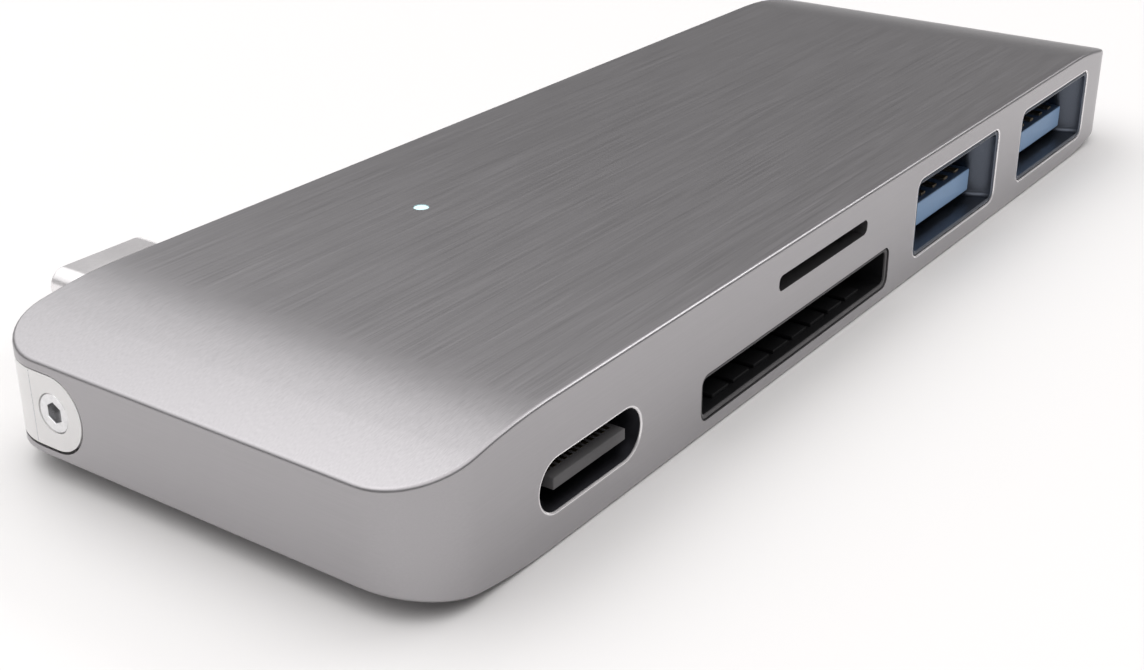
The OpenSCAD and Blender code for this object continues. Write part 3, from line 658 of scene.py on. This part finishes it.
def build_usb_a_shell(n):
    """Drawn sheet box whose mouth widens smoothly to the sides."""
    node = f"usb_a_shell_{n}"
    low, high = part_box(node)
    mouth, back = low.y, high.y
    corner = 0.45 * MM
    steps = 10

    def flare(depth):
        ease = min(1.0, depth / A_FLARE_L)
        return A_FLARE * (1 + math.cos(math.pi * ease))

    depths = [A_FLARE_L * i / steps for i in range(steps, 0, -1)]
    lip = 0.07 * MM
    inner = [(back - A_SHEET, *A_IN, corner)]
    inner += [(mouth + lip + d, A_IN[0] + flare(d), A_IN[1], corner) for d in depths]
    inner.append((mouth + lip, A_IN[0] + flare(0), A_IN[1], corner))
    edge = (A_IN[0] + flare(0) + A_SHEET, A_IN[1] + A_SHEET, corner + A_SHEET / 2)
    outer = [(mouth, *edge)]
    outer += [(mouth + lip + d, A_IN[0] + flare(d) + 2 * A_SHEET, A_IN[1] + 2 * A_SHEET, corner + A_SHEET)
              for d in [0] + depths[::-1]]
    outer.append((back, A_IN[0] + 2 * A_SHEET, A_IN[1] + 2 * A_SHEET, corner + A_SHEET))
    shell = add_mesh(f"usb_a_box_{n}", *tube_y(middle_of(node), inner, outer), smooth_angle=40)
    dress(shell, "hub", "port_steel", node)


def rounded_bar(middle, size, y0, y1, edge):
    """A bar along Y with round long edges and a rounded front end."""
    w, h = size
    turn = 4
    sections = []
    for i in range(turn, -1, -1):
        a = math.pi / 2 * i / turn
        y = y0 + edge * (1 - math.sin(a))
        shrink = 2 * edge * (1 - math.cos(a))
        sections.append((y, w - shrink, h - shrink, edge * (0.3 + 0.7 * math.cos(a))))
    sections.append((y1, w, h, edge))
    return skin(loft_y(middle, sections, 4))


def build_usb_a_tongue(n):
    """Thin blade under the contacts, on a thicker block at the back."""
    node = f"usb_a_tongue_{n}"
    low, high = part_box(node)
    x, z = middle_of(node)
    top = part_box(f"usb_a_contacts_{n}")[1].z - 0.62 * MM
    size = (11.1 * MM, 1.84 * MM)                 # width and thickness of the blade
    block_y = high.y - 3.65 * MM
    parts = [rounded_bar((x, top - size[1] / 2), size, low.y, block_y, 0.16 * MM),
             rounded_bar((x, z), (high.x - low.x, high.z - low.z), block_y, high.y, 0.3 * MM)]
    tongue = add_mesh(f"usb_a_blade_{n}", *combined(parts), smooth_angle=40)
    dress(tongue, "hub", "blue_plastic", node)


def build_usb_c_shell():
    """Round-ended tube that widens at its mouth to meet the wall's lip."""
    low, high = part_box("usb_c_shell")
    mouth, back = low.y, high.y
    out = (C_IN[0] + 2 * C_SHEET, C_IN[1] + 2 * C_SHEET)
    lip = 0.08 * MM
    front = -SIDE_Y + RIM_DEPTH
    slim = 0.02 * MM
    edge_in = (C_CUT[0] - 4 * slim, C_CUT[1] - 4 * slim)
    edge_out = (C_CUT[0] - slim, C_CUT[1] - slim)
    inner = [(y, *size, full_round(size[1]))
             for y, size in ((back - C_SHEET, C_IN), (mouth + 3 * lip, C_IN), (front, edge_in))]
    outer = [(y, *size, full_round(size[1]))
             for y, size in ((front, edge_out), (mouth, edge_out), (mouth + lip, out), (back, out))]
    shell = add_mesh("usb_c_tube", *tube_y(middle_of("usb_c_shell"), inner, outer, 16), smooth_angle=40)
    dress(shell, "hub", "dark_steel", "usb_c_shell")


def build_usb_c_tongue():
    """Thin blade on a plug that fills the back of the type C tube."""
    low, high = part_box("usb_c_insulator")
    middle = middle_of("usb_c_insulator")
    root = high.y - 2 * MM
    blade, play = (6.69 * MM, 0.7 * MM), 0.04 * MM
    w, h = C_IN[0] - play, C_IN[1] - play
    parts = [rounded_bar(middle, blade, low.y, root + 0.1 * MM, 0.07 * MM),
             skin(loft_y(middle, [(y, w, h, full_round(h)) for y in (root, high.y)], 12))]
    tongue = add_mesh("usb_c_blade", *combined(parts), smooth_angle=40)
    dress(tongue, "hub", "tongue_plastic", "usb_c_insulator")


def sd_sections():
    """Size of the frame's nose, and size and corner radius of the crest round its mouth."""
    nose = (SD_NOSE[0] - 2 * SD_GAP, SD_NOSE[1] - 2 * SD_GAP)
    crest = ((nose[0] + SD_OPEN[0]) / 2, (nose[1] + SD_OPEN[1]) / 2, 0.55 * MM)
    return nose, crest


def build_sd_frame():
    """Moulded frame in the wall's slot, with the card's channel and the teeth just inside the mouth."""
    low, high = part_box("sd_base")
    mouth, back = low.y, high.y
    x, z = SD_MIDDLE
    nose, crest = sd_sections()
    nose_r = SD_NOSE_R - SD_GAP
    inner = [(back - 1.2 * MM, *SD_OPEN, SD_OPEN_R), (mouth + SD_LIP, *SD_OPEN, SD_OPEN_R)]
    step_y = -SIDE_Y + WALL + 0.1 * MM
    wide = (high.x - low.x, nose[1])
    outer = [(mouth, *crest), (mouth + SD_LIP, *nose, nose_r), (step_y, *nose, nose_r),
             (step_y, *wide, 0.2 * MM), (back, *wide, 0.2 * MM)]
    parts = [tube_y((x, z), inner, outer)]
    tooth_z = z - SD_OPEN[1] / 2 + TOOTH_RISE
    for i in range(TEETH):
        tooth_x = x + (i - (TEETH - 1) / 2) * TOOTH_PITCH
        ends = [-SIDE_Y + y for y in TOOTH_ENDS]
        parts.append(rounded_bar((tooth_x, tooth_z), TOOTH, *ends, 0.05 * MM))
    frame_piece = add_mesh("sd_frame", *combined(parts), smooth_angle=40)
    dress(frame_piece, "hub", "black_plastic", "sd_base")


def build_sd_bezel():
    """Greyer skin over the front edge of the frame."""
    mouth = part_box("sd_base")[0].y
    nose, crest = sd_sections()
    slim = 0.02 * MM
    inner = (SD_OPEN[0] - slim, SD_OPEN[1] - slim, SD_OPEN_R)
    outer = (nose[0] + slim, nose[1] + slim, SD_NOSE_R - SD_GAP)
    front, rear = mouth - 0.03 * MM, mouth + 0.13 * MM
    rings = loft_y(SD_MIDDLE, [(rear, *inner), (front + SD_LIP, *inner), (front, *crest),
                               (front + SD_LIP, *outer), (rear, *outer), (rear, *inner)])
    bezel = add_mesh("sd_bezel", *skin(rings, caps=False))
    weld(bezel)
    smooth(bezel, 40)
    dress(bezel, "hub", "tongue_plastic")


# ---- plug and lock ----
def build_plug_shell():
    """Seamless drawn shell with a rounded tip."""
    low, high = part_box("plug_shell")
    root, tip = low.y, high.y
    w, h = high.x - low.x, high.z - low.z
    sheet, roll = 0.28 * MM, 0.16 * MM
    turn = 5
    outer = [(root, w, h, full_round(h))]
    for i in range(turn + 1):
        a = math.pi / 2 * i / turn
        shrink = 2 * roll * (1 - math.cos(a))
        outer.append((tip - roll * (1 - math.sin(a)), w - shrink, h - shrink, full_round(h - shrink)))
    in_w, in_h = w - 2 * sheet, h - 2 * sheet
    inner = [(y, in_w, in_h, full_round(in_h)) for y in (tip - 0.06 * MM, root)]
    rings = loft_y(middle_of("plug_shell"), outer + inner, 16)
    verts, faces = skin(rings + [rings[0]], caps=False)
    shell = add_mesh("plug_tube", verts, faces)
    weld(shell)
    smooth(shell, 40)
    dress(shell, "plug_carriage", "plug_steel", "plug_shell")


def build_lock_screw():
    """Turned screw with a small chamfer, a pointed hexagonal socket and a pin on its inner end."""
    low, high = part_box("lock_screw")
    y, z = (low.y + high.y) / 2, (low.z + high.z) / 2
    r = (high.z - low.z) / 2
    chamfer = 0.07 * MM
    hex_r, depth = 1.1 * MM / math.sqrt(3), 1.3 * MM
    count = 72

    def ring(x, radius):
        return [Vector((x, y + radius * math.sin(t), z + radius * math.cos(t)))
                for t in (2 * math.pi * i / count for i in range(count))]

    def hex_ring(x, radius):
        points = []
        for i in range(count):
            t = 2 * math.pi * i / count
            to_middle = (t % (math.pi / 3)) - math.pi / 6
            reach = radius * math.cos(math.pi / 6) / math.cos(to_middle)
            points.append(Vector((x, y + reach * math.sin(t), z + reach * math.cos(t))))
        return points

    pin_r, pin_l = 0.525 * MM, 0.7 * MM
    rings = [ring(high.x - pin_l, pin_r), ring(high.x, pin_r), ring(high.x, r), ring(low.x + chamfer, r),
             ring(low.x, r - chamfer), hex_ring(low.x, hex_r + 0.05 * MM), hex_ring(low.x + 0.05 * MM, hex_r),
             hex_ring(low.x + depth - 0.2 * MM, hex_r), ring(low.x + depth, 0.02 * MM)]
    screw = add_mesh("lock_screw_turned", *skin(rings), smooth_angle=25)
    dress(screw, "lock_screw", "screw_steel", "lock_screw")


def build_carrier_shade_line():
    """Fine painted shade line down the carrier where its round corner starts, in place of the change of
    shading at that edge.
    """
    along = 0.3 * MM                              # how far into the round corner the line lies
    y = SIDE_Y - CORNER_R + along
    inset = CORNER_R - math.sqrt(CORNER_R ** 2 - along ** 2)
    front, half, height = -END_X + inset - 0.004 * MM, 0.03 * MM, 2.2 * MM
    rings = [[Vector((x, y + dy, MID_Z + dz)) for dy, dz in
              ((-half, -height), (half, -height), (half, height), (-half, height))]
             for x in (front, front + 0.05 * MM)]
    shade_line = add_mesh("carrier_shade_line", *skin(rings))
    # a grey strip on the white carrier as painted shade
    dress(shade_line, "plug_carriage", "socket_steel")


def build_card_spring():
    """The push slot's coil as a true helix."""
    low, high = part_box("microsd_spring")
    x, z = (low.x + high.x) / 2, (low.z + high.z) / 2
    wire = 0.09 * MM
    r = (high.z - low.z) / 2 - wire
    turns, around, sides = 9, 20, 8
    run = high.y - low.y - 2 * wire
    rings = []
    for i in range(turns * around + 1):
        t = 2 * math.pi * i / around
        out = Vector((math.cos(t), 0, math.sin(t)))
        along = Vector((-math.sin(t) * r, run / (turns * 2 * math.pi), math.cos(t) * r)).normalized()
        across = along.cross(out)
        middle = Vector((x, low.y + wire + run * i / (turns * around), z)) + out * r
        rings.append([middle + wire * (out * math.cos(a) + across * math.sin(a))
                      for a in (2 * math.pi * k / sides for k in range(sides))])
    coil = add_mesh("microsd_coil", *skin(rings), smooth_angle=60)
    dress(coil, "hub", "spring_steel", "microsd_spring")
    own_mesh(coil)


def build_plug_ribbon():
    """Flat ribbon folded back under the plug's board."""
    low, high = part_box("plug_flex")
    half = RIBBON_T / 2
    z0, z1 = low.z + half, high.z - half
    r = (z1 - z0) / 2
    fold_y = high.y - r - half
    joint_y = fold_y - 2 * MM
    turn, steps = 12, 10
    line = [(low.y + (fold_y - low.y) * i / steps, z0, 0, 1) for i in range(steps)]
    line += [(fold_y + r * math.sin(a), z0 + r - r * math.cos(a), -math.sin(a), math.cos(a))
             for a in (math.pi * i / turn for i in range(turn + 1))]
    line += [(fold_y + (joint_y - fold_y) * i / steps, z1, 0, -1) for i in range(1, steps + 1)]
    rings = [[Vector((low.x, y - ny * half, z - nz * half)), Vector((high.x, y - ny * half, z - nz * half)),
              Vector((high.x, y + ny * half, z + nz * half)), Vector((low.x, y + ny * half, z + nz * half))]
             for y, z, ny, nz in line]
    ribbon = add_mesh("plug_ribbon", *skin(rings), "ribbon", smooth_angle=40)
    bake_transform(ribbon)
    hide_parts("plug_flex")


# ---- stage and light ----
# brightness of the sky at the sine of the angle above the horizon
SKY = [(0.0, 0.52), (0.05, 0.32), (0.13, 0.11), (0.34, 0.085), (0.50, 0.19), (0.66, 0.80), (0.85, 1.12)]


def build_stage():
    """A wide pale floor, a hair below the underside."""
    half = 3
    corners = [(-half, -half, 0), (half, -half, 0), (half, half, 0), (-half, half, 0)]
    floor = add_mesh("floor", corners, [(0, 1, 2, 3)])
    floor.location.z = -0.02 * MM
    m, _, _, bsdf = new_material("floor")
    bsdf.inputs["Base Color"].default_value = (0.82, 0.813, 0.808, 1)
    bsdf.inputs["Roughness"].default_value = 0.6
    floor.data.materials.append(m)


def area_light(name, place, size, power):
    """A rectangular light that faces the hub."""
    light = bpy.data.lights.new(name, "AREA")
    light.shape = "RECTANGLE"
    light.size, light.size_y = size
    light.energy = power
    obj = bpy.data.objects.new(name, light)
    obj.location = place
    obj.rotation_euler = (-Vector(place)).to_track_quat("-Z", "Y").to_euler()
    bpy.context.scene.collection.objects.link(obj)


def build_world():
    """Soft sky: pale at the horizon, dim above it and bright overhead."""
    world = bpy.data.worlds.new("studio")
    bpy.context.scene.world = world
    world.use_nodes = True
    nodes, links = world.node_tree.nodes, world.node_tree.links
    coord = nodes.new("ShaderNodeTexCoord")
    split = nodes.new("ShaderNodeSeparateXYZ")
    ramp = nodes.new("ShaderNodeValToRGB")
    links.new(coord.outputs["Generated"], split.inputs[0])
    links.new(split.outputs["Z"], ramp.inputs["Fac"])
    links.new(ramp.outputs["Color"], nodes["Background"].inputs["Color"])
    elements = ramp.color_ramp.elements
    elements[0].position = SKY[0][0]
    elements[1].position = SKY[-1][0]
    for height, _ in SKY[1:-1]:
        elements.new(height)
    for element, (_, level) in zip(elements, SKY):
        element.color = (level, level * 0.985, level * 0.985, 1)
    nodes["Background"].inputs["Strength"].default_value = 1.35


def build_lights():
    area_light("rear_softbox", (-0.10, 0.51, 0.58), (1.25, 0.85), 2.7)
    area_light("front_strip", (0.55, -0.20, 0.45), (0.40, 0.12), 0.8)


make_camera()
paint_cad_nodes()
build_case()
for port in (1, 2):
    build_usb_a_shell(port)
    build_usb_a_tongue(port)
build_usb_c_shell()
build_usb_c_tongue()
build_rims()
build_sd_frame()
build_sd_bezel()
build_plug_shell()
build_lock_screw()
build_carrier_shade_line()
build_card_spring()
build_plug_ribbon()
soften(NODES["plug_carrier"], CARRIER_EDGE)
build_stage()
build_world()
build_lights()
bpy.context.scene.view_settings.view_transform = "Standard"
